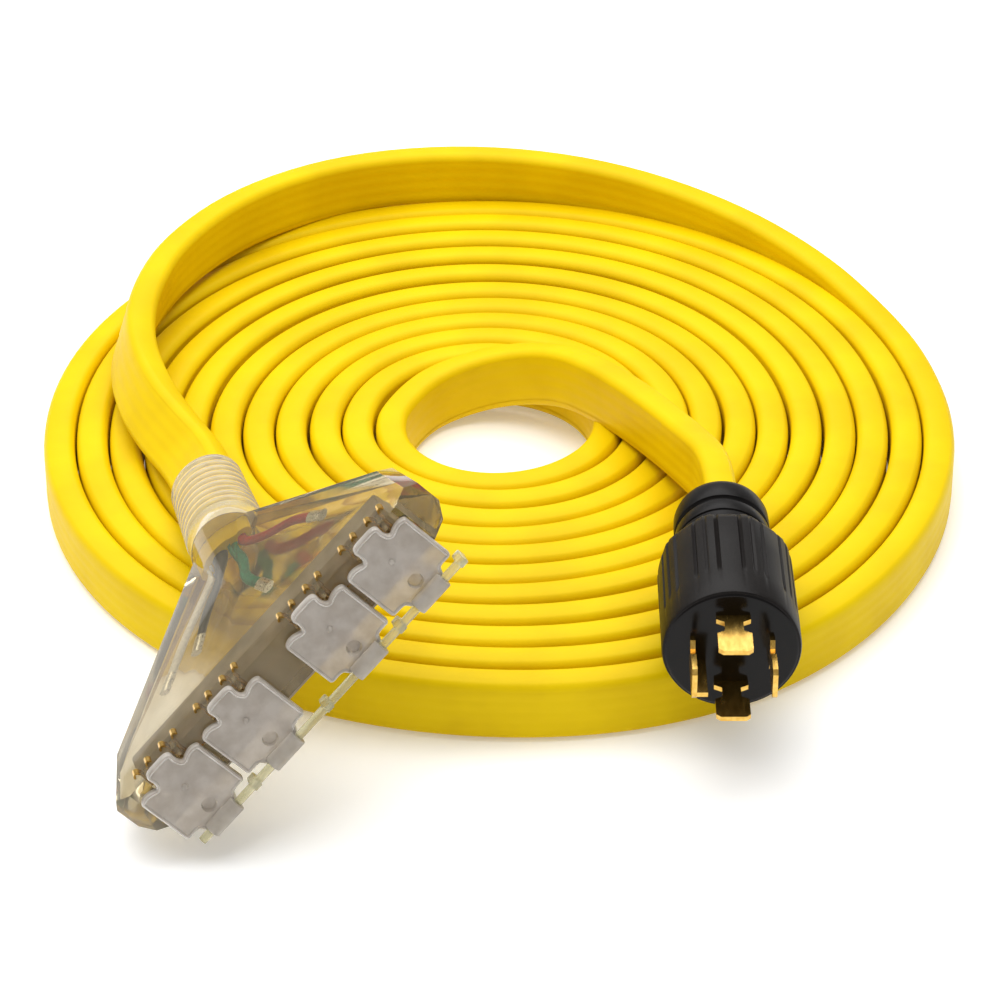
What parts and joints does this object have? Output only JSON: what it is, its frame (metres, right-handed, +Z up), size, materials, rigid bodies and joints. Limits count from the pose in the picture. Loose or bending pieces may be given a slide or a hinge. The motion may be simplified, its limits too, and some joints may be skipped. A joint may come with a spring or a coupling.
{
  "type": "shore power cord",
  "caption": "Flat yellow power cord in a flat coil, with a round locking plug and a clear fan-shaped connector whose household outlets have hinged covers.",
  "frame": {"origin": "on the floor, under the middle of the fan connector", "axes": "+Z up from the floor; -Y the way the plug's blades point; +X from the connector towards the coil and plug"},
  "size_m": [0.3437, 0.4327, 0.1185],
  "materials": {
    "clear_pvc": "smoky translucent moulded PVC",
    "cover_pvc": "frosted translucent PVC",
    "yellow_jacket": "satin yellow PVC cable jacket",
    "black_shell": "satin black moulded nylon",
    "black_face": "glossy black nylon",
    "black_neck": "satin black vinyl",
    "brass": "stamped brass",
    "tinned_barrels": "tinned copper crimp barrels",
    "red_core": "red core insulation",
    "green_core": "green core insulation",
    "black_core": "black core insulation",
    "white_core": "white core insulation",
    "tray_plastic": "natural nylon carrier",
    "stud_plastic": "clear grey drive studs"
  },
  "bodies": {
    "cord_set": {"outlet_body": "clear_pvc", "contact_tray": "tray_plastic", "hot_bus_x": "brass", "hot_bus_y": "brass", "neutral_bus": "brass", "ground_bus": "brass", "core_crimps": "tinned_barrels", "core_red": "red_core", "core_green": "green_core", "core_black": "black_core", "core_white": "white_core", "jacket_end": "yellow_jacket", "strain_relief": "clear_pvc", "cover_hinge_bar": "clear_pvc", "hinge_bar_studs": "stud_plastic", "cable_coil": "yellow_jacket", "cable_tail_plug": "yellow_jacket", "cable_tail_connector": "yellow_jacket", "plug_neck": "black_neck", "plug_body": "black_shell", "plug_face": "black_face", "plug_jacket_end": "yellow_jacket", "plug_crimps": "tinned_barrels", "plug_core_green": "green_core", "plug_core_black": "black_core", "plug_core_red": "red_core", "plug_core_white": "white_core", "plug_blade_hot_x": "brass", "plug_blade_hot_y": "brass", "plug_blade_ground": "brass", "plug_blade_neutral": "brass"},
    "cover_1": {"outlet_cover_1": "cover_pvc"},
    "cover_2": {"outlet_cover_2": "cover_pvc"},
    "cover_3": {"outlet_cover_3": "cover_pvc"},
    "cover_4": {"outlet_cover_4": "cover_pvc"}
  },
  "joints": [
    {"name": "cover_1_hinge", "type": "hinge", "parent": "cord_set", "child": "cover_1", "pos_m": [0.04711, -0.05416, 0.08602], "axis": [0.6715, 0.2733, 0.6888], "range_deg": [0, 110]},
    {"name": "cover_2_hinge", "type": "hinge", "parent": "cord_set", "child": "cover_2", "pos_m": [0.02696, -0.06236, 0.06536], "axis": [0.6715, 0.2733, 0.6888], "range_deg": [0, 110]},
    {"name": "cover_3_hinge", "type": "hinge", "parent": "cord_set", "child": "cover_3", "pos_m": [-0.00057, -0.07357, 0.03712], "axis": [0.6715, 0.2733, 0.6888], "range_deg": [0, 110]},
    {"name": "cover_4_hinge", "type": "hinge", "parent": "cord_set", "child": "cover_4", "pos_m": [-0.02071, -0.08177, 0.01646], "axis": [0.6715, 0.2733, 0.6888], "range_deg": [0, 110]}
  ]
}
